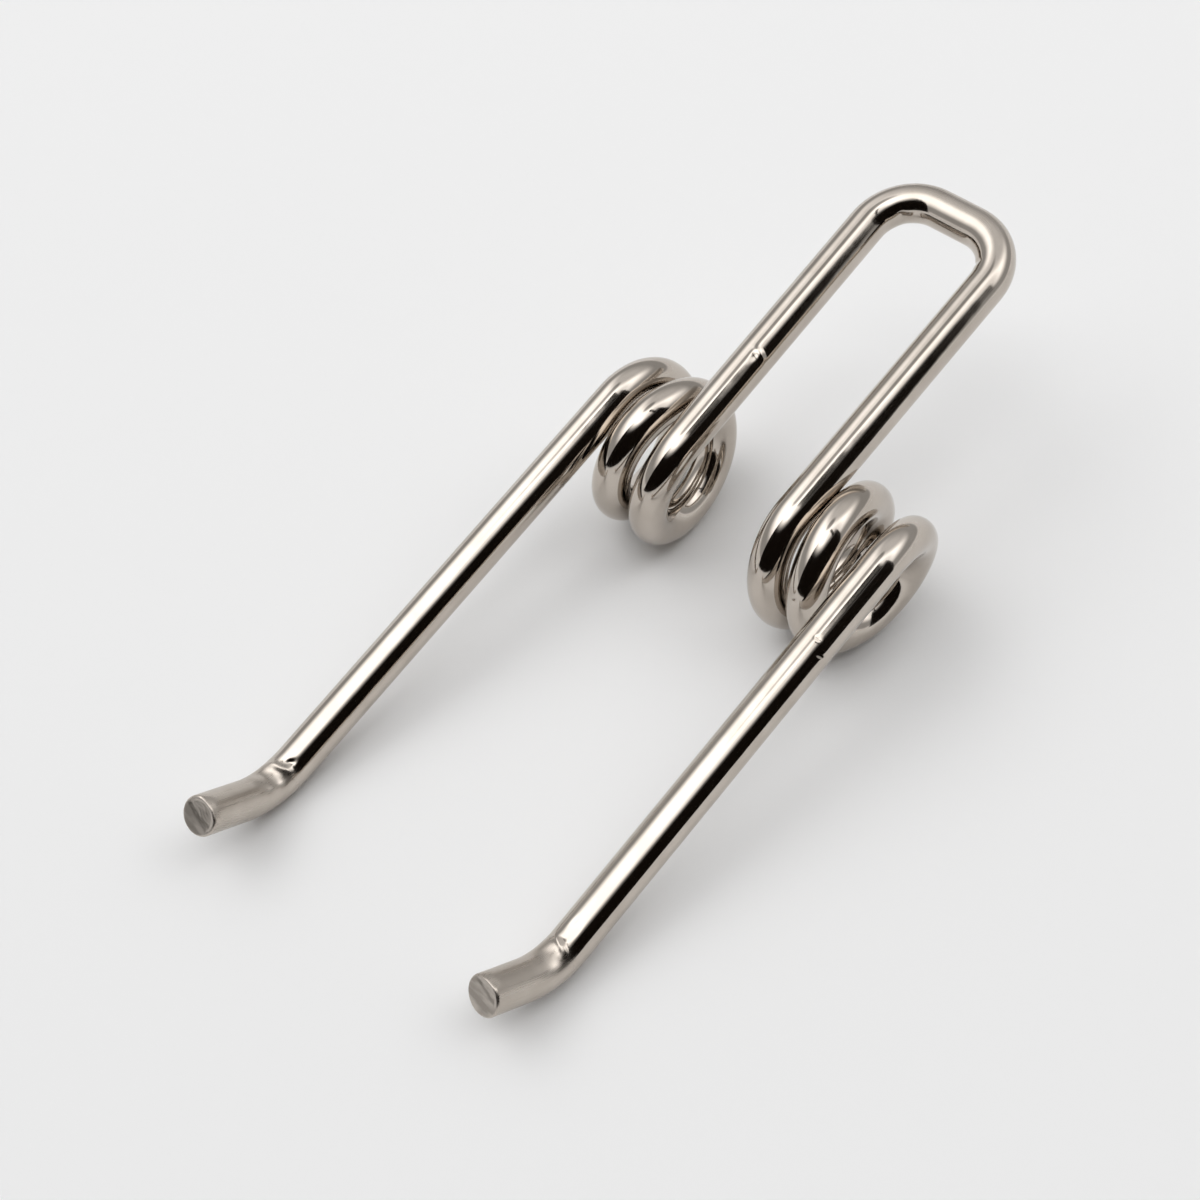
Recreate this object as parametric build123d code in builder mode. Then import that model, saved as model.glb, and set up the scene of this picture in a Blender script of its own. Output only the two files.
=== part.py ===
from build123d import *

import os
from math import acos, atan2, cos, degrees, hypot, pi, radians, sin

# Double torsion spring, formed from one length of round wire. The wire makes a centre loop with two
# parallel legs, winds outwards into a coil on each side, and leaves over the top of each coil as an
# outer leg whose end is bent upwards. While it is formed, the coil axis is the Y axis, +X points to
# the centre loop and -X to the outer legs. Millimetres and degrees.

wire_diameter = 3.0
wire_radius = wire_diameter / 2

# Centre loop
loop_length = 26.4  # coil axis to the middle of the loop's cross bar
loop_end_half_width = 5.55  # middle of the spring to a loop leg, at the cross bar
loop_foot_half_width = 5.4  # the same where the leg runs on to its coil
loop_corner_radius = 3.9  # to the middle of the wire

# Coils
coil_radius = 5.1  # inner turn, to the middle of the wire
turns_per_coil = 2
arcs_per_turn = 8

# Outer legs
bend_radius = 5.5  # to the middle of the wire
cut_edge_radius = 0.2  # rounded rim of the sheared ends

# The two sides are wound separately, so they differ a little. The hand is the side of the spring.
# Turn gaps are the air between one turn and the next, from the loop outwards, and the last turn
# closes in by so much of its radius. The leg length runs from the coil axis to the bend, the lean
# tips the bend outwards from upright, or inwards if it is negative, and the leg end is the straight
# stretch after the bend.
sides = {
    "left": dict(
        hand=1,
        turn_gaps=(0.95, 0.65),
        closing_in=0.15,
        leg_length=36.4,
        bend_angle=54.5,
        bend_lean=-7.5,
        leg_end_length=4.7,
    ),
    "right": dict(
        hand=-1,
        turn_gaps=(0.4, 1.6),
        closing_in=0.5,
        leg_length=33.9,
        bend_angle=46.5,
        bend_lean=-9.5,
        leg_end_length=3.5,
    ),
}


def coil_points(side):
    """Points every arc along a coil, from the loop's leg to the outer leg. The wire starts and ends
    square to the axis and advances by each turn's pitch in between, so each step is the mean of the
    pitches at its two ends. The last turn closes in smoothly."""
    pitches = [wire_diameter + gap for gap in side["turn_gaps"]]
    pitch_at = [0.0]
    for turn in range(turns_per_coil):
        pitch_at += [pitches[turn]] * (arcs_per_turn - 1)
        next_pitch = pitches[turn + 1] if turn + 1 < turns_per_coil else -pitches[turn]
        pitch_at.append((pitches[turn] + next_pitch) / 2)
    points = []
    offset = loop_foot_half_width
    last_turn_start = (turns_per_coil - 1) * arcs_per_turn
    for step, (pitch, next_pitch) in enumerate(zip(pitch_at, pitch_at[1:]), start=1):
        offset += (pitch + next_pitch) / 2 / arcs_per_turn
        turned = 2 * pi * step / arcs_per_turn
        closing = max(0, step - last_turn_start) / arcs_per_turn
        radius = coil_radius - side["closing_in"] * (1 - cos(pi * closing)) / 2
        points.append((-radius * sin(turned), side["hand"] * offset, radius * cos(turned)))
    return points


def centreline(side):
    """Middle of the wire on one side of the spring, from the cross bar to the cut end."""
    hand = side["hand"]
    with BuildLine() as path:
        # Half of the cross bar, the rounded corner and the loop's leg
        loop = FilletPolyline(
            (loop_length, 0, coil_radius),
            (loop_length, hand * loop_end_half_width, coil_radius),
            (0, hand * loop_foot_half_width, coil_radius),
            radius=loop_corner_radius,
        )
        end, heading = loop @ 1, loop % 1
        # Coil turns, each arc tangent to the one before it
        for point in coil_points(side):
            arc = TangentArc(end, point, tangent=heading)
            end, heading = arc @ 1, arc % 1
        # Outer leg, over the top of the coil and straight back to its bend
        leg = Line(end, end + heading * side["leg_length"])
        bend = radians(side["bend_angle"])
        upright = Vector(0, 1, 0).cross(heading).normalized()
        bend_side = upright.rotate(Axis((0, 0, 0), heading), hand * side["bend_lean"])
        bend_travel = heading * sin(bend) + bend_side * (1 - cos(bend))
        leg_bend = TangentArc(leg @ 1, (leg @ 1) + bend_travel * bend_radius, tangent=heading)
        Line(leg_bend @ 1, (leg_bend @ 1) + (leg_bend % 1) * side["leg_end_length"])
    return path.edges(), leg_bend.arc_center


def rest_angle(bend_centre):
    """Tilt that brings the bend of an outer leg down to the plane under the inner turns."""
    reach = hypot(bend_centre.X, bend_centre.Z)
    return degrees(
        acos((bend_radius - coil_radius) / reach) - atan2(-bend_centre.X, bend_centre.Z)
    )


stretches = []
rest_angles = []
for side in sides.values():
    path_edges, bend_centre = centreline(side)
    stretches += path_edges
    rest_angles.append(rest_angle(bend_centre))

# Lying on a flat surface the spring stands on both coils and on the outer leg that comes down
# first, which is the longer one.
rest_tilt = min(rest_angles)

# Each straight or curved stretch is a true cylinder or ring segment, end to end with the next
with BuildPart() as formed_wire:
    for stretch in stretches:
        with BuildSketch(Plane(origin=stretch @ 0, z_dir=stretch % 0)):
            Circle(wire_radius)
        sweep(path=stretch)
    cut_ends = formed_wire.faces().filter_by(GeomType.PLANE)
    fillet(cut_ends.edges(), cut_edge_radius)

# Lying as it comes to rest
with BuildPart() as resting_wire:
    add(formed_wire.part, rotation=(0, -rest_tilt, 0))

# Origin under the middle of the spring, on the surface that it lies on
with BuildPart() as spring_wire:
    extent = resting_wire.part.bounding_box()
    with Locations((-extent.center().X, -extent.center().Y, -extent.min.Z)):
        add(resting_wire.part)

spring_wire.part.label = "spring_wire"

os.makedirs("parts", exist_ok=True)
export_step(spring_wire.part, "parts/spring_wire.step")
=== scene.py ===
import math

import bpy
import numpy as np
from mathutils import Matrix, Vector


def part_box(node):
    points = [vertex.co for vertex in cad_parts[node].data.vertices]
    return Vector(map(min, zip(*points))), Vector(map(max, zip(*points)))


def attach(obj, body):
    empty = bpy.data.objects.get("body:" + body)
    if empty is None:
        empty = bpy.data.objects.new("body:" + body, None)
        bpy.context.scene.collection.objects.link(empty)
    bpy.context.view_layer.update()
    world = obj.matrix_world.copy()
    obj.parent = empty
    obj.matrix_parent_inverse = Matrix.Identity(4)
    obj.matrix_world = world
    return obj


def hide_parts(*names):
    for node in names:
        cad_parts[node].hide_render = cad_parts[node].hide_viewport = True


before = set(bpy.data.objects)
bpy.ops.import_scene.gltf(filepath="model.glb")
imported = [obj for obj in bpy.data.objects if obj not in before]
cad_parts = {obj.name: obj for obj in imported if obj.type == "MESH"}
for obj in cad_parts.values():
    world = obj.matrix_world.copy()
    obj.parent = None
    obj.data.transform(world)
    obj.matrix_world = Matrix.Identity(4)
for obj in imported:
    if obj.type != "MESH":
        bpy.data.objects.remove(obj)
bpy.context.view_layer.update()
mm = 0.001

# Double torsion spring bent from one nickel-plated wire. It is worked out the way it is formed, in
# millimetres: coil axis along Y, loop towards +X, outer legs towards -X. Then it is laid to rest.
springSizes = {
    "wireDiameter": 3.0,
    "loopLength": 26.4,  # coil axis to the middle of the cross bar
    "loopEndHalfWidth": 5.55,
    "loopFootHalfWidth": 5.4,
    "loopCornerRadius": 3.9,
    "coilRadius": 5.1,  # to the middle of the wire, as every radius here
    "turnsPerCoil": 2,
    "arcsPerTurn": 8,
    "bendRadius": 5.5,
    "cutEdgeRadius": 0.2,
    "left": {
        "hand": 1,
        "turnGaps": (0.95, 0.65),
        "closingIn": 0.15,
        "legLength": 36.4,
        "bendAngle": 54.5,
        "bendLean": -7.5,
        "legEndLength": 4.7,
    },
    "right": {
        "hand": -1,
        "turnGaps": (0.4, 1.6),
        "closingIn": 0.5,
        "legLength": 33.9,
        "bendAngle": 46.5,
        "bendLean": -9.5,
        "legEndLength": 3.5,
    },
}

wireMesh = {
    "pointsAround": 88,
    "straightStep": 0.50,  # between rings, in millimetres
    "bentStep": 0.32,
    "markStep": 0.085,  # at a dent or a nick
    "markReach": 0.9,  # a mark's reach is this, plus
    "markLengths": 1.5,  # so many times its own length
    "finestShare": 0.6,  # share of the reach that has the closest rings
    "stepGrowth": 0.5,  # what each further reach adds to the step
    "countingPoints": 40000,  # points along the wire at which the rings' number is added up
    "rimRings": 5,
    "faceRings": 16,
    "reliefFade": 6,  # a mark fades out with this power of the width, where a cut edge narrows
}

# Tool dents and nicks. Each sits on one side of the spring, so many millimetres on from the start of
# a named stretch, and so many degrees round the wire. A negative depth is a raised lip.
wireMarks = [
    # left bend: the bending tool's edge pressed a lip across the wire, with a notch behind it, and
    # a shallow seat with a bulge beside it before it
    {"side": "left", "stretch": "legBend", "along": 1.45, "around": 84, "length": 0.38, "width": 1.05,
     "depth": -0.14, "slant": 0.40, "sidePower": 4},
    {"side": "left", "stretch": "legBend", "along": 0.45, "around": 100, "length": 0.42, "width": 0.30,
     "depth": 0.12, "slant": 0.9, "sidePower": 2},
    {"side": "left", "stretch": "legBend", "along": 2.75, "around": 84, "length": 0.85, "width": 1.10,
     "depth": 0.22, "slant": 0.25, "sidePower": 3},
    {"side": "left", "stretch": "legBend", "along": 3.3, "around": 128, "length": 0.6, "width": 0.45,
     "depth": -0.08},
    # right bend: a lower and rougher lip, with two grooves behind it and a shallow seat before it
    {"side": "right", "stretch": "legBend", "along": 0.75, "around": 84, "length": 0.36, "width": 0.85,
     "depth": -0.09, "slant": -0.35, "sidePower": 4, "ragged": 0.3},
    {"side": "right", "stretch": "outerLeg", "along": 33.3, "around": 78, "length": 0.55, "width": 0.20,
     "depth": 0.05, "slant": 0.6},
    {"side": "right", "stretch": "outerLeg", "along": 32.7, "around": 92, "length": 0.50, "width": 0.16,
     "depth": 0.04, "slant": 0.6},
    {"side": "right", "stretch": "legBend", "along": 2.3, "around": 82, "length": 1.0, "width": 1.0,
     "depth": 0.13, "sidePower": 3},
    # loop's left leg: a nick with a raised burr, and the fine scrape that leads up to it
    {"side": "left", "stretch": "loopLeg", "along": 13.9, "around": 34, "length": 0.24, "width": 0.45,
     "depth": -0.07, "slant": -0.3},
    {"side": "left", "stretch": "loopLeg", "along": 14.35, "around": 26, "length": 0.40, "width": 0.18,
     "depth": 0.045, "slant": -0.1},
    {"side": "left", "stretch": "loopLeg", "along": 16.6, "around": 30, "length": 1.9, "width": 0.15,
     "depth": 0.014, "endPower": 2},
    # right outer leg, near its coil: two small nicks
    {"side": "right", "stretch": "outerLeg", "along": 7.15, "around": 68, "length": 0.13, "width": 0.20,
     "depth": 0.045},
    {"side": "right", "stretch": "outerLeg", "along": 7.95, "around": 34, "length": 0.15, "width": 0.26,
     "depth": 0.045, "slant": 0.4},
    # pits in the right coil
    {"side": "right", "stretch": "coil", "along": 4.86, "around": 0, "length": 0.10, "width": 0.16,
     "depth": 0.05},
    {"side": "right", "stretch": "coil", "along": 36.8, "around": 47, "length": 0.12, "width": 0.12,
     "depth": 0.05},
    # inside of the loop's corners, where the former squeezed the wire
    {"side": "left", "stretch": "corner", "along": 3.2, "around": 88, "length": 0.60, "width": 0.9,
     "depth": 0.10, "slant": 0.1},
    {"side": "right", "stretch": "corner", "along": 4.4, "around": 72, "length": 0.34, "width": 0.8,
     "depth": 0.10, "slant": -0.2, "sidePower": 4},
    # rolled-over edge of the sheared ends, on the side that the blade came from
    {"side": "left", "stretch": "legEnd", "along": 4.7, "around": 112, "length": 0.45, "width": 1.0,
     "depth": 0.16, "sidePower": 4},
    {"side": "right", "stretch": "legEnd", "along": 3.5, "around": 95, "length": 0.45, "width": 0.8,
     "depth": 0.16, "sidePower": 4},
]

# The depth of a ragged mark swings with two sines of the distance along the wire. The second is bent
# by a third, and shifts with the arc round the wire.
raggedSwing = {
    "slow": 2.9,
    "slowShift": 1.7,
    "fast": 7.1,
    "fastShare": 0.5,
    "bend": 1.7,
    "bendShare": 3,
    "arcShift": 5.0,
}

# The sheared ends: a burnished half and a torn half that lies a little deeper, in millimetres and
# degrees. The waves of the torn half are in radians per millimetre.
cutFace = {
    "stepDepth": 0.055,
    "stepWidth": 0.30,
    "stepPlace": {"left": -0.1, "right": 0.55},
    "stepTurn": {"left": -20.0, "right": 20.0},
    "tearDepth": 0.02,
    "tearWave": 17,
    "tearBend": 2,
    "tearBendWave": 5,
    "tearBreakWaves": (3, 6),
    "flatFrom": 0.85,  # share of the face's radius past which the step and the tears fade out
    "dullEdge": 0.5,  # share of the cut edge's radius that is as dull as the face
}


def unit(vector):
    return vector / np.linalg.norm(vector)


def turnAbout(vector, axis, angle):
    # Rodrigues: the part along the axis stays, the rest turns by the angle
    cross = np.cross(axis, vector)
    along = np.sum(axis * vector, axis=-1, keepdims=True) * axis
    return vector * np.cos(angle) + cross * np.sin(angle) + along * (1 - np.cos(angle))


def stretch(begin, name, length, towards=None, radius=None):
    # A straight stretch, or an arc that bends towards a direction square to the heading. Over an
    # angle a and a length l, an arc goes on by l sin(a) / a and inwards by l (1 - cos(a)) / a.
    start, heading, upright = begin
    curvature = 0.0 if radius is None else 1.0 / radius
    axis = upright if towards is None else unit(np.cross(heading, towards))
    inward = np.cross(axis, heading)
    angle = length * curvature
    chord = heading * length * np.sinc(angle / np.pi)
    rise = inward * length * angle / 2 * np.sinc(angle / 2 / np.pi) ** 2
    end = (start + chord + rise, turnAbout(heading, axis, angle), turnAbout(upright, axis, angle))
    return {"name": name, "start": start, "heading": heading, "upright": upright, "axis": axis,
            "curvature": curvature, "length": length, "end": end}


def coilPoints(side):
    # The wire starts and ends square to the coil's axis and takes each turn's pitch in between, so
    # a step along the axis is the mean pitch of its two ends. The last turn closes in by a cosine.
    arcs = springSizes["arcsPerTurn"]
    turns = springSizes["turnsPerCoil"]
    pitches = np.array(side["turnGaps"]) + springSizes["wireDiameter"]
    pitchAt = np.zeros(turns * arcs + 1)
    for turn in range(turns):
        pitchAt[turn * arcs + 1:(turn + 1) * arcs] = pitches[turn]
        if turn:
            pitchAt[turn * arcs] = (pitches[turn - 1] + pitches[turn]) / 2
    offset = springSizes["loopFootHalfWidth"] + np.cumsum((pitchAt[1:] + pitchAt[:-1]) / 2 / arcs)
    step = np.arange(1, turns * arcs + 1)
    closing = np.maximum(0, step - (turns - 1) * arcs) / arcs
    radius = springSizes["coilRadius"] - side["closingIn"] * (1 - np.cos(np.pi * closing)) / 2
    turned = 2 * np.pi * step / arcs
    return np.stack((-radius * np.sin(turned), side["hand"] * offset, radius * np.cos(turned)), 1)


def walkSide(side):
    # From the middle of the cross bar outwards: half the bar, corner, loop leg, coil, outer leg, bend
    # and leg end, each tangent to the one before
    sizes = springSizes
    hand = side["hand"]
    coilRadius = sizes["coilRadius"]
    cornerRadius = sizes["loopCornerRadius"]
    sideways = np.array((0.0, hand, 0.0))
    corner = np.array((sizes["loopLength"], hand * sizes["loopEndHalfWidth"], coilRadius))
    foot = np.array((0.0, hand * sizes["loopFootHalfWidth"], coilRadius))
    legWay = unit(foot - corner)
    cornerTurn = math.acos(legWay @ sideways)
    cornerReach = cornerRadius * math.tan(cornerTurn / 2)
    inward = legWay - sideways * (legWay @ sideways)
    begin = (np.array((sizes["loopLength"], 0.0, coilRadius)), sideways, np.array((0.0, 0.0, 1.0)))
    walk = [stretch(begin, "crossBar", sizes["loopEndHalfWidth"] - cornerReach)]
    walk.append(stretch(walk[-1]["end"], "corner", cornerRadius * cornerTurn, inward, cornerRadius))
    walk.append(stretch(walk[-1]["end"], "loopLeg", np.linalg.norm(foot - corner) - cornerReach))
    for point in coilPoints(side):
        start, heading, _ = walk[-1]["end"]
        chord = point - start
        halfTurn = math.acos(chord @ heading / np.linalg.norm(chord))
        radius = np.linalg.norm(chord) / 2 / math.sin(halfTurn)
        inward = chord - heading * (chord @ heading)
        walk.append(stretch(walk[-1]["end"], "coil", 2 * halfTurn * radius, inward, radius))
    walk.append(stretch(walk[-1]["end"], "outerLeg", side["legLength"]))
    heading = walk[-1]["end"][1]
    upwards = unit(np.cross((0.0, 1.0, 0.0), heading))
    leaning = turnAbout(upwards, heading, hand * math.radians(side["bendLean"]))
    bendLength = sizes["bendRadius"] * math.radians(side["bendAngle"])
    walk.append(stretch(walk[-1]["end"], "legBend", bendLength, leaning, sizes["bendRadius"]))
    walk.append(stretch(walk[-1]["end"], "legEnd", side["legEndLength"]))
    return walk


def restTilt(walks):
    # the turn about the coil axis at which an outer leg's bend comes down level with the coils
    tilts = []
    for walk in walks.values():
        bend = next(part for part in walk if part["name"] == "legBend")
        centre = bend["start"] + np.cross(bend["axis"], bend["heading"]) / bend["curvature"]
        reach = math.hypot(centre[0], centre[2])
        lift = springSizes["bendRadius"] - springSizes["coilRadius"]
        tilts.append(math.acos(lift / reach) - math.atan2(-centre[0], centre[2]))
    return min(tilts)


def stretchAt(walk, distance):
    # which stretch each distance from the cross bar's middle falls in, and how far on in it that is
    lengths = np.array([part["length"] for part in walk])
    starts = np.concatenate(([0.0], np.cumsum(lengths)[:-1]))
    which = np.clip(np.searchsorted(starts, distance, side="right") - 1, 0, len(walk) - 1)
    return which, distance - starts[which]


def alongWalk(walk, distance):
    # middle of the wire, its heading and its upright, at distances from the cross bar's middle, by
    # the same formula as the end of a stretch
    which, gone = stretchAt(walk, distance)
    start, heading, upright, axis, curvature = (
        np.array([part[key] for part in walk])[which]
        for key in ("start", "heading", "upright", "axis", "curvature")
    )
    gone = gone[:, None]
    angle = gone * curvature[:, None]
    inward = np.cross(axis, heading)
    middle = (start + heading * gone * np.sinc(angle / np.pi)
              + inward * gone * angle / 2 * np.sinc(angle / 2 / np.pi) ** 2)
    return middle, turnAbout(heading, axis, angle), turnAbout(upright, axis, angle)


def startOf(walk, name):
    # from the cross bar's middle to where the first stretch of that name begins
    names = [part["name"] for part in walk]
    return sum(part["length"] for part in walk[:names.index(name)])


def walkLength(walk):
    return sum(part["length"] for part in walk)


def markPlace(mark, walks):
    # place along the whole wire: left of the cross bar's middle is negative, right is positive
    distance = startOf(walks[mark["side"]], mark["stretch"]) + mark["along"]
    return distance if mark["side"] == "right" else -distance


def ringPlaces(walks):
    # Rings lie closer where the wire bends and closest beside the marks: their number per
    # millimetre is added up along the wire, and one ring stands at each whole number of that sum.
    cut = springSizes["cutEdgeRadius"]
    first = -walkLength(walks["left"]) + cut
    last = walkLength(walks["right"]) - cut
    fine = np.linspace(first, last, wireMesh["countingPoints"])
    step = np.full(len(fine), wireMesh["straightStep"])
    for name, sign in (("left", -1), ("right", 1)):
        which, _ = stretchAt(walks[name], fine * sign)
        bent = np.array([part["curvature"] > 0 for part in walks[name]])[which]
        step[bent & (fine * sign > 0)] = wireMesh["bentStep"]
    for mark in wireMarks:
        reach = mark["length"] * wireMesh["markLengths"] + wireMesh["markReach"]
        past = np.maximum(0, np.abs(fine - markPlace(mark, walks)) / reach - wireMesh["finestShare"])
        step = np.minimum(step, wireMesh["markStep"] + wireMesh["stepGrowth"] * past)
    count = np.concatenate(([0.0], np.cumsum(np.diff(fine) / step[:-1])))
    return np.interp(np.linspace(0, count[-1], int(count[-1]) + 1), count, fine)


def markRelief(walks, along, around):
    # Each mark is a bump or a hollow: depth times exp(-|u|^p) times exp(-|v|^q), where u is the
    # distance along the wire over the mark's length and v the arc round the wire over its width. A
    # slant shifts u with the arc.
    radius = springSizes["wireDiameter"] / 2
    relief = np.zeros(np.broadcast_shapes(along.shape, around.shape))
    for mark in wireMarks:
        arc = np.angle(np.exp(1j * (around - math.radians(mark["around"])))) * radius
        gone = along - markPlace(mark, walks) - mark.get("slant", 0.0) * arc
        u = np.abs(gone / mark["length"])
        v = np.abs(arc / mark["width"])
        hollow = np.exp(-(u ** mark.get("endPower", 2)) - v ** mark.get("sidePower", 2))
        slow = np.sin(gone * raggedSwing["slow"] + raggedSwing["slowShift"])
        bend = raggedSwing["bendShare"] * np.sin(gone * raggedSwing["bend"])
        fast = np.sin(gone * raggedSwing["fast"] + bend + arc * raggedSwing["arcShift"])
        swing = slow + raggedSwing["fastShare"] * fast
        relief -= mark["depth"] * hollow * (1 + mark.get("ragged", 0.0) * swing)
    return relief


def smoothStep(low, high, value):
    # 0 on low's side, 1 on high's, and 3t^2 - 2t^3 between them; low may be the greater one
    share = np.clip((value - low) / (high - low), 0, 1)
    return share * share * (3 - 2 * share)


def faceRelief(name, across, up):
    # the sheared face: a soft step across it, and tear marks on the deeper half, which are a bent
    # wave broken up by a second one
    turn = math.radians(cutFace["stepTurn"][name])
    away = across * math.cos(turn) + up * math.sin(turn) - cutFace["stepPlace"][name]
    side = across * math.sin(turn) - up * math.cos(turn)
    deeper = smoothStep(-cutFace["stepWidth"] / 2, cutFace["stepWidth"] / 2, away)
    bend = cutFace["tearBend"] * np.sin(side * cutFace["tearBendWave"])
    sideWave, awayWave = cutFace["tearBreakWaves"]
    tears = np.sin(away * cutFace["tearWave"] + bend) * np.sin(side * sideWave + away * awayWave)
    return deeper * (cutFace["stepDepth"] + cutFace["tearDepth"] * (1 + tears) / 2)


def wireProfile(reach, rings):
    # Distances along the wire and widths there, from the middle of the left face to the middle of the
    # right face. A cut edge is a quarter circle: the sine along the wire, the cosine across it.
    radius = springSizes["wireDiameter"] / 2
    cut = springSizes["cutEdgeRadius"]
    rim = np.linspace(0, np.pi / 2, wireMesh["rimRings"] + 1)[1:]
    face = np.linspace(1, 0, wireMesh["faceRings"] + 1)[1:]
    leftFace = np.full(len(face), -reach["left"])
    leftRim = (-reach["left"] + cut - cut * np.sin(rim))[::-1]
    rightRim = reach["right"] - cut + cut * np.sin(rim)
    rightFace = np.full(len(face), reach["right"])
    rimWidth = radius - cut + cut * np.cos(rim)
    faceWidth = (radius - cut) * face
    fullWidth = np.full(len(rings), radius)
    along = np.concatenate((leftFace, leftRim, rings, rightRim, rightFace))
    width = np.concatenate((faceWidth[::-1], rimWidth[::-1], fullWidth, rimWidth, faceWidth))
    return along, width


def wireFrames(walks, along):
    # middle, heading and upright, in frames that don't twist: each arc turns them about its own axis
    middle, heading, upright = np.empty((3, len(along), 3))
    for name, sign, here in (("left", -1, along < 0), ("right", 1, along >= 0)):
        middle[here], way, upright[here] = alongWalk(walks[name], along[here] * sign)
        heading[here] = way * sign
    return middle, heading, upright


def sunkFaces(reach, along, width, acrossPart, upPart):
    # how far each point of the two sheared faces is moved into the wire, along the heading
    faceRadius = springSizes["wireDiameter"] / 2 - springSizes["cutEdgeRadius"]
    sunk = np.zeros_like(upPart)
    for name, sign in (("left", 1), ("right", -1)):
        onFace = (along * -sign >= reach[name] - 1e-9) & (width < faceRadius + 1e-9)
        fade = smoothStep(1.0, cutFace["flatFrom"], width[onFace] / faceRadius)[:, None]
        sunk[onFace] = sign * fade * faceRelief(name, acrossPart[onFace], upPart[onFace])
    return sunk


def layToRest(points, tilt):
    # turned about the coil axis, then moved to where the frame's wire lies
    laid = turnAbout(points, np.array((0.0, 1.0, 0.0)), -tilt) * mm
    flat = laid.reshape(-1, 3)
    low, high = (np.array(corner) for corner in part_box("spring_wire"))
    shift = (low + high) / 2 - (flat.min(0) + flat.max(0)) / 2
    shift[2] = low[2] - flat[:, 2].min()
    return laid + shift


def ringsThenPoles(values):
    # one value per vertex: the first and the last ring are the two poles, so each is one point
    return np.concatenate((values[1:-1].reshape(-1, *values.shape[2:]), values[:1, 0], values[-1:, 0]))


def ringFaces(ringCount):
    # quads between neighbouring rings, and a fan of triangles round each pole
    count = wireMesh["pointsAround"]
    ring = np.arange(ringCount - 1)[:, None] * count
    here = np.arange(count)[None, :]
    after = (here + 1) % count
    quads = np.stack((ring + here, ring + after, ring + count + after, ring + count + here), -1)
    pole = ringCount * count
    lastRing = pole - count
    startFan = np.stack(np.broadcast_arrays(pole, after[0], here[0]), -1)
    endFan = np.stack(np.broadcast_arrays(pole + 1, lastRing + here[0], lastRing + after[0]), -1)
    return quads.reshape(-1, 4).tolist() + startFan.tolist() + endFan.tolist()


def makeWire():
    # A point is the middle of the wire, plus its width times the cosine upright and the sine across,
    # plus what the sheared faces are sunk along the heading. The marks change the width.
    walks = {name: walkSide(springSizes[name]) for name in ("left", "right")}
    reach = {name: walkLength(walks[name]) for name in walks}
    radius = springSizes["wireDiameter"] / 2
    along, width = wireProfile(reach, ringPlaces(walks))
    middle, heading, upright = wireFrames(walks, along)
    across = np.cross(heading, upright)
    around = np.linspace(0, 2 * np.pi, wireMesh["pointsAround"], endpoint=False)[None, :]
    fade = (width / radius)[:, None] ** wireMesh["reliefFade"]
    markedWidth = width[:, None] + markRelief(walks, along[:, None], around) * fade
    upPart = markedWidth * np.cos(around)
    acrossPart = markedWidth * np.sin(around)
    sunk = sunkFaces(reach, along, width, acrossPart, upPart)
    section = upright[:, None] * upPart[..., None] + across[:, None] * acrossPart[..., None]
    points = middle[:, None] + section + heading[:, None] * sunk[..., None]
    tilt = restTilt(walks)
    laid = layToRest(points, tilt)
    faces = ringFaces(len(laid) - 2)
    mesh = bpy.data.meshes.new("springWire")
    mesh.from_pydata(ringsThenPoles(laid).tolist(), [], faces)
    mesh.shade_smooth()
    # place on the wire, in millimetres: along it, and across its section
    place = np.stack(np.broadcast_arrays(along[:, None], upPart, acrossPart), -1)
    sheared = width < radius - springSizes["cutEdgeRadius"] * cutFace["dullEdge"]
    addAttribute(mesh, "wirePlace", place, "FLOAT_VECTOR")
    addAttribute(mesh, "satin", satinShare(walks, along[:, None], around), "FLOAT")
    addAttribute(mesh, "cutEnd", sheared[:, None] * np.ones_like(around), "FLOAT")
    wire = bpy.data.objects.new("nickelWire", mesh)
    bpy.context.scene.collection.objects.link(wire)
    triangles = sum(len(face) - 2 for face in faces)
    print("wire:", len(laid) - 2, "rings,", triangles, "triangles, tilt", round(math.degrees(tilt), 3))
    return wire


def addAttribute(mesh, name, values, kind):
    everywhere = ringsThenPoles(values).astype(np.float32)
    layer = mesh.attributes.new(name, kind, "POINT")
    layer.data.foreach_set("vector" if kind == "FLOAT_VECTOR" else "value", everywhere.ravel())


# Where the bright plate is rubbed dull, in millimetres past the start of a leg's bend and past the
# end of the cross bar. The bar's inside stays bright, from a place in radians round the wire.
rubbedPlate = {
    "bendFrom": -0.3,
    "bendFull": 1.6,
    "barFull": 1.5,
    "barGone": 4.5,
    "barShare": 0.75,
    "brightFrom": 0.1,
    "brightSoftness": 0.5,
}


def satinShare(walks, along, around):
    # how dull the plate is at each point, from 0 to 1
    dull = np.zeros(np.broadcast_shapes(along.shape, around.shape))
    for name, sign in (("left", -1), ("right", 1)):
        bend = startOf(walks[name], "legBend")
        gripped = smoothStep(bend + rubbedPlate["bendFrom"], bend + rubbedPlate["bendFull"], along * sign)
        dull = np.maximum(dull, gripped)
    barEnd = startOf(walks["left"], "corner")
    bar = smoothStep(barEnd + rubbedPlate["barGone"], barEnd + rubbedPlate["barFull"], np.abs(along))
    inside = smoothStep(0.0, rubbedPlate["brightSoftness"], np.sin(around - rubbedPlate["brightFrom"]))
    return np.maximum(dull, rubbedPlate["barShare"] * bar * (1 - inside))


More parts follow.
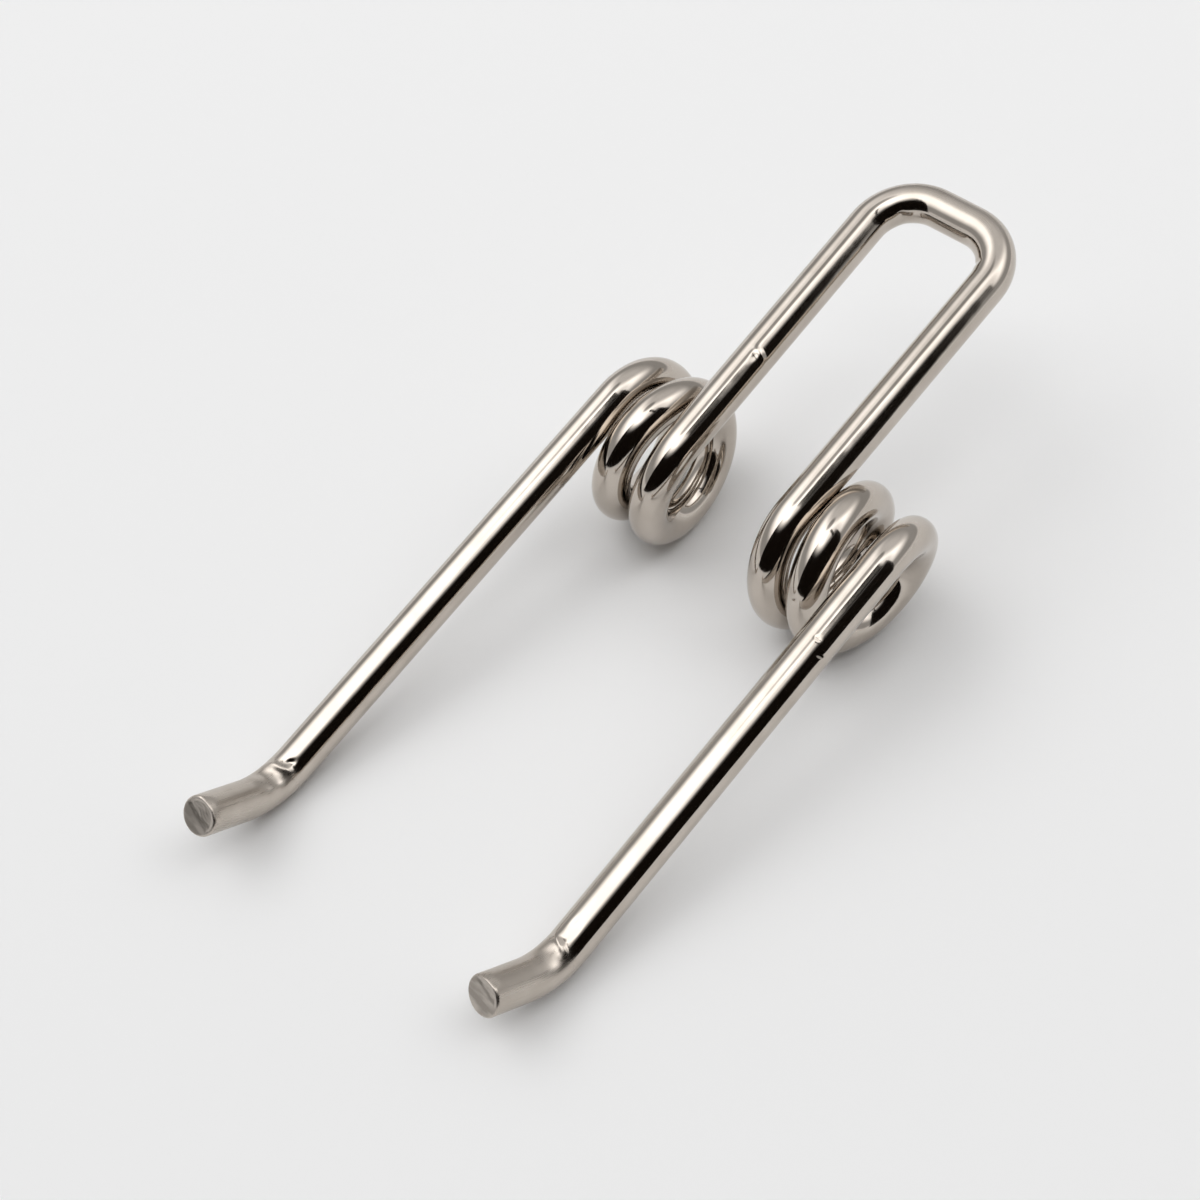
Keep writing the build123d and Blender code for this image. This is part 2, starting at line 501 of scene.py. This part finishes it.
nickelFinish = {
    "paleTone": (0.555, 0.502, 0.447),
    "deepTone": (0.50, 0.448, 0.395),
    "cutTone": (0.52, 0.475, 0.43),
    "cutSmudgeTone": (0.30, 0.27, 0.24),
    "cutShare": 0.85,  # how much of the bare steel's tone shows on the sheared ends
    "polishedRoughness": 0.085,
    "satinRoughness": 0.30,
    "cutRoughness": 0.40,
    "lineRoughness": (0.8, 1.25),  # the drawn lines change the roughness by these factors
    "rippleHeight": 0.9e-5,  # metres
    "drawnLineHeight": 0.9e-6,
    "grainHeight": 2.2e-6,
}

# noise over the place on the wire: scale per millimetre, detail, and a stretch along and across it
wireNoise = {
    "clouds": {"scale": 0.45, "detail": 4.0},
    "drawnLines": {"scale": 1.0, "detail": 3.0, "stretch": (0.12, 9.0, 9.0)},
    "grain": {"scale": 9.0, "detail": 3.0},
    "ripple": {"scale": 0.55, "detail": 1.0},
    "smudge": {"scale": 0.8, "detail": 2.0, "stretch": (1.0, 0.5, 1.6)},
}

# the values between which a noise is spread from 0 to 1
noiseRange = {
    "clouds": (0.35, 0.65),
    "drawnLines": (0.3, 0.7),
    "smudge": (0.40, 0.62),
}


def node(tree, kind, **settings):
    made = tree.nodes.new(kind)
    for key, value in settings.items():
        setattr(made, key, value)
    return made


def feed(tree, source, target):
    tree.links.new(source, target)


def noise(tree, place, scale, detail, stretch=(1.0, 1.0, 1.0)):
    mapping = node(tree, "ShaderNodeMapping")
    mapping.inputs["Scale"].default_value = stretch
    feed(tree, place, mapping.inputs["Vector"])
    texture = node(tree, "ShaderNodeTexNoise")
    texture.inputs["Scale"].default_value = scale
    texture.inputs["Detail"].default_value = detail
    feed(tree, mapping.outputs[0], texture.inputs["Vector"])
    return texture.outputs["Fac"]


def mapRange(tree, value, source, target, smooth=False):
    made = node(tree, "ShaderNodeMapRange", interpolation_type="SMOOTHSTEP" if smooth else "LINEAR")
    for key, number in zip(("From Min", "From Max", "To Min", "To Max"), (*source, *target)):
        made.inputs[key].default_value = number
    feed(tree, value, made.inputs["Value"])
    return made.outputs["Result"]


def maths(tree, operation, first, second):
    made = node(tree, "ShaderNodeMath", operation=operation)
    for socket, value in zip(made.inputs, (first, second)):
        if isinstance(value, (int, float)):
            socket.default_value = value
        else:
            feed(tree, value, socket)
    return made.outputs[0]


def mixColour(tree, share, first, second):
    made = node(tree, "ShaderNodeMix", data_type="RGBA")
    feed(tree, share, made.inputs["Factor"])
    for key, value in (("A", first), ("B", second)):
        socket = next(s for s in made.inputs if s.name == key and s.type == "RGBA")
        if isinstance(value, tuple):
            socket.default_value = (*value, 1)
        else:
            feed(tree, value, socket)
    return next(s for s in made.outputs if s.type == "RGBA")


def bump(tree, height, distance, under=None):
    made = node(tree, "ShaderNodeBump")
    made.inputs["Distance"].default_value = distance
    feed(tree, height, made.inputs["Height"])
    if under:
        feed(tree, under, made.inputs["Normal"])
    return made.outputs["Normal"]


def nickelPlate():
    # bright nickel on drawn wire: a soft ripple, lines drawn along the wire, duller rubbed places, and
    # bare grey steel with smudges at the sheared ends
    finish = nickelFinish
    material = bpy.data.materials.new("nickelPlate")
    material.use_nodes = True
    tree = material.node_tree
    shader = tree.nodes["Principled BSDF"]
    shader.inputs["Metallic"].default_value = 1.0
    place = node(tree, "ShaderNodeAttribute", attribute_name="wirePlace").outputs["Vector"]
    satin = node(tree, "ShaderNodeAttribute", attribute_name="satin").outputs["Fac"]
    cutEnd = node(tree, "ShaderNodeAttribute", attribute_name="cutEnd").outputs["Fac"]
    pattern = {name: noise(tree, place, **settings) for name, settings in wireNoise.items()}
    clouds = mapRange(tree, pattern["clouds"], noiseRange["clouds"], (0.0, 1.0))
    smudge = mapRange(tree, pattern["smudge"], noiseRange["smudge"], (0.0, 1.0), smooth=True)
    plateTone = mixColour(tree, clouds, finish["paleTone"], finish["deepTone"])
    cutTone = mixColour(tree, smudge, finish["cutTone"], finish["cutSmudgeTone"])
    bare = maths(tree, "MULTIPLY", cutEnd, finish["cutShare"])
    feed(tree, mixColour(tree, bare, plateTone, cutTone), shader.inputs["Base Color"])
    dull = maths(tree, "MAXIMUM", satin, cutEnd)
    rough = mapRange(tree, dull, (0.0, 1.0), (finish["polishedRoughness"], finish["satinRoughness"]))
    rough = maths(tree, "MAXIMUM", rough, maths(tree, "MULTIPLY", cutEnd, finish["cutRoughness"]))
    lines = mapRange(tree, pattern["drawnLines"], noiseRange["drawnLines"], finish["lineRoughness"])
    feed(tree, maths(tree, "MULTIPLY", rough, lines), shader.inputs["Roughness"])
    normal = bump(tree, pattern["ripple"], finish["rippleHeight"])
    normal = bump(tree, pattern["drawnLines"], finish["drawnLineHeight"], normal)
    normal = bump(tree, maths(tree, "MULTIPLY", pattern["grain"], dull), finish["grainHeight"], normal)
    feed(tree, normal, shader.inputs["Normal"])
    return material


# Where the picture is taken from: the aim in the frame's millimetres, angles in degrees
viewpoint = {
    "aim": (-4.441, 2.035, 8.338),
    "distance": 140.489,
    "azimuth": 48.993,  # of the looking direction, from +X towards +Y
    "down": 51.908,
    "roll": -7.213,
    "lens": 58.394,  # millimetres, as is the sensor's width
    "sensor": 36.0,
    "seenFrom": 0.005,  # metres
    "seenTo": 50.0,
}


def direction(azimuth, elevation):
    level = math.cos(elevation)
    return (math.cos(azimuth) * level, math.sin(azimuth) * level, math.sin(elevation))


def makeCamera():
    azimuth, down, roll = (math.radians(viewpoint[key]) for key in ("azimuth", "down", "roll"))
    forward = Vector(direction(azimuth, -down))
    level = forward.cross(Vector((0, 0, 1))).normalized()
    right = level * math.cos(roll) + level.cross(forward) * math.sin(roll)
    up = right.cross(forward)
    data = bpy.data.cameras.new("camera")
    data.sensor_width = viewpoint["sensor"]
    data.lens = viewpoint["lens"]
    data.clip_start = viewpoint["seenFrom"]
    data.clip_end = viewpoint["seenTo"]
    camera = bpy.data.objects.new("camera", data)
    turn = Matrix((right, up, -forward)).transposed().to_4x4()
    place = Vector(viewpoint["aim"]) * mm - forward * viewpoint["distance"] * mm
    camera.matrix_world = Matrix.Translation(place) @ turn
    bpy.context.scene.collection.objects.link(camera)
    bpy.context.scene.camera = camera


studio = {
    "floorHalf": 4.0,  # metres, as every length here
    "floorTone": (0.935, 0.935, 0.935),
    "farFloorPaintedShade": (0.60, 0.60, 0.60),  # painted shade: the floor is darker far from the dark card, to even out the extra light it gets there
    "farFloorFrom": 0.7,
    "farFloorFull": 2.2,
    "floorRoughness": 0.9,
    "roomLight": 0.43,
    "ceilingGlow": 2.0,
    "glowHeights": (0.42, 0.86),  # sines of the elevations where the glow begins and where it is full
    "horizonLight": 0.44,  # on top of the room light, in a thin band at the foot of the walls
    "horizonHeights": (0.10, 0.16),  # sines of the elevations where it begins to fade and is gone
    "roomTint": (1.0, 1.0, 1.0),
    "cardTone": (0.012, 0.009, 0.007),
    "cardRadius": 1.5,
    "cardAzimuths": (157.0, 290.0),  # degrees, as every angle here
    "cardHeight": 3.9,
    "cardFade": 2.16,  # height over which its upper edge fades out
    "cardPoints": (48, 12),  # round it and up it
    "barAzimuth": -84.0,  # the thin bar between two ceiling panels
    "barElevations": (56.0, 82.0),
    "barDistance": 1.2,
    "barWidth": 0.075,
    "barPoints": 12,
}

# darker places in the ceiling's glow, soft from their outer angle to their inner one
shadedCeiling = [
    {"azimuth": -88.0, "elevation": 58.0, "inner": 6.0, "outer": 26.0, "shade": 0.55},
    {"azimuth": 26.0, "elevation": 54.0, "inner": 16.0, "outer": 38.0, "shade": 0.8},
]

# a small gap between the ceiling's panels, which darkens the room light behind the glow as well
ceilingGap = {"azimuth": 60.0, "elevation": 79.0, "inner": 5.0, "outer": 11.5, "shade": 0.5}


def surfaceMesh(name, grid):
    # quads between neighbours of a grid of points
    rows, columns = grid.shape[:2]
    index = np.arange(rows * columns).reshape(rows, columns)
    quads = np.stack((index[:-1, :-1], index[:-1, 1:], index[1:, 1:], index[1:, :-1]), -1).reshape(-1, 4)
    mesh = bpy.data.meshes.new(name)
    mesh.from_pydata(grid.reshape(-1, 3).tolist(), [], quads.tolist())
    made = bpy.data.objects.new(name, mesh)
    bpy.context.scene.collection.objects.link(made)
    return made


def makeFloor():
    half = studio["floorHalf"]
    x, y = np.meshgrid((-half, half), (-half, half))
    floor = surfaceMesh("paleFloor", np.stack((x, y, 0 * x), -1))
    material = bpy.data.materials.new("paleFloor")
    material.use_nodes = True
    tree = material.node_tree
    shader = tree.nodes["Principled BSDF"]
    away = node(tree, "ShaderNodeVectorMath", operation="LENGTH")
    feed(tree, node(tree, "ShaderNodeTexCoord").outputs["Object"], away.inputs[0])
    # painted shade: the floor's tone darkens with distance, to even out the extra light it gets far from
    # the dark card
    distances = (studio["farFloorFrom"], studio["farFloorFull"])
    far = mapRange(tree, away.outputs["Value"], distances, (0.0, 1.0), smooth=True)
    tone = mixColour(tree, far, studio["floorTone"], studio["farFloorPaintedShade"])
    feed(tree, tone, shader.inputs["Base Color"])
    shader.inputs["Roughness"].default_value = studio["floorRoughness"]
    shader.inputs["Specular IOR Level"].default_value = 0.0
    floor.data.materials.append(material)


def cardMaterial(name, fadeHeights=None):
    # near black, and fading out between two heights if they are given
    material = bpy.data.materials.new(name)
    material.use_nodes = True
    tree = material.node_tree
    shader = tree.nodes["Principled BSDF"]
    shader.inputs["Base Color"].default_value = (*studio["cardTone"], 1)
    shader.inputs["Roughness"].default_value = 1.0
    shader.inputs["Specular IOR Level"].default_value = 0.0
    if fadeHeights:
        split = node(tree, "ShaderNodeSeparateXYZ")
        feed(tree, node(tree, "ShaderNodeTexCoord").outputs["Object"], split.inputs[0])
        left = mapRange(tree, split.outputs["Z"], fadeHeights, (1.0, 0.0), smooth=True)
        feed(tree, left, shader.inputs["Alpha"])
    return material


def makeDarkCard():
    # a curved card round one side of the object, which darkens the metal's reflections there: a part
    # of a cylinder, by azimuth and height
    columns, rows = studio["cardPoints"]
    top = studio["cardHeight"]
    radius = studio["cardRadius"]
    azimuth = np.radians(np.linspace(*studio["cardAzimuths"], columns))[:, None]
    height = np.linspace(0, top, rows)[None, :]
    x, y, z = np.broadcast_arrays(radius * np.cos(azimuth), radius * np.sin(azimuth), height)
    card = surfaceMesh("darkCard", np.stack((x, y, z), -1))
    card.data.materials.append(cardMaterial("darkCard", (top - studio["cardFade"], top)))
    card.visible_camera = False


def makeCeilingBar():
    # A thin bar overhead, along one azimuth, which draws a fine dark line in the metal: an arc by
    # elevation, with its two long edges half a width to each side
    elevation = np.radians(np.linspace(*studio["barElevations"], studio["barPoints"]))[:, None]
    azimuth = math.radians(studio["barAzimuth"])
    offset = np.array((-0.5, 0.5))[None, :] * studio["barWidth"]
    distance = studio["barDistance"]
    x = distance * np.cos(elevation) * math.cos(azimuth) - offset * math.sin(azimuth)
    y = distance * np.cos(elevation) * math.sin(azimuth) + offset * math.cos(azimuth)
    z = distance * np.sin(elevation) + 0 * offset
    bar = surfaceMesh("ceilingBar", np.stack((x, y, z), -1))
    bar.data.materials.append(cardMaterial("ceilingBar"))
    bar.visible_camera = False


def shadeTowards(tree, way, spot):
    # 1 away from a spot in the ceiling and 1 minus its shade inside it, by the cosine between them
    facing = node(tree, "ShaderNodeVectorMath", operation="DOT_PRODUCT")
    azimuth, elevation = math.radians(spot["azimuth"]), math.radians(spot["elevation"])
    facing.inputs[1].default_value = direction(azimuth, elevation)
    feed(tree, way, facing.inputs[0])
    edges = (math.cos(math.radians(spot["outer"])), math.cos(math.radians(spot["inner"])))
    return mapRange(tree, facing.outputs["Value"], edges, (1.0, 1.0 - spot["shade"]), smooth=True)


def makeRoomLight():
    # an even pale room with a broad glow overhead
    world = bpy.data.worlds.new("studioRoom")
    bpy.context.scene.world = world
    world.use_nodes = True
    tree = world.node_tree
    background = tree.nodes["Background"]
    background.inputs["Color"].default_value = (*studio["roomTint"], 1)
    way = node(tree, "ShaderNodeTexCoord").outputs["Generated"]
    split = node(tree, "ShaderNodeSeparateXYZ")
    feed(tree, way, split.inputs[0])
    height = split.outputs["Z"]
    gap = shadeTowards(tree, way, ceilingGap)
    glow = mapRange(tree, height, studio["glowHeights"], (0.0, studio["ceilingGlow"]), smooth=True)
    glow = maths(tree, "MULTIPLY", glow, gap)
    for spot in shadedCeiling:
        glow = maths(tree, "MULTIPLY", glow, shadeTowards(tree, way, spot))
    strength = maths(tree, "MULTIPLY", maths(tree, "ADD", glow, studio["roomLight"]), gap)
    horizon = mapRange(tree, height, studio["horizonHeights"], (studio["horizonLight"], 0.0), smooth=True)
    feed(tree, maths(tree, "ADD", strength, horizon), background.inputs["Strength"])


bpy.context.scene.view_settings.view_transform = "Standard"
makeCamera()
makeFloor()
makeDarkCard()
makeCeilingBar()
makeRoomLight()
print("studio: camera, floor, dark card, ceiling bar and room light")

wire = makeWire()
wire.data.materials.append(nickelPlate())
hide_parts("spring_wire")
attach(wire, "root")
print("finish: nickel plate")
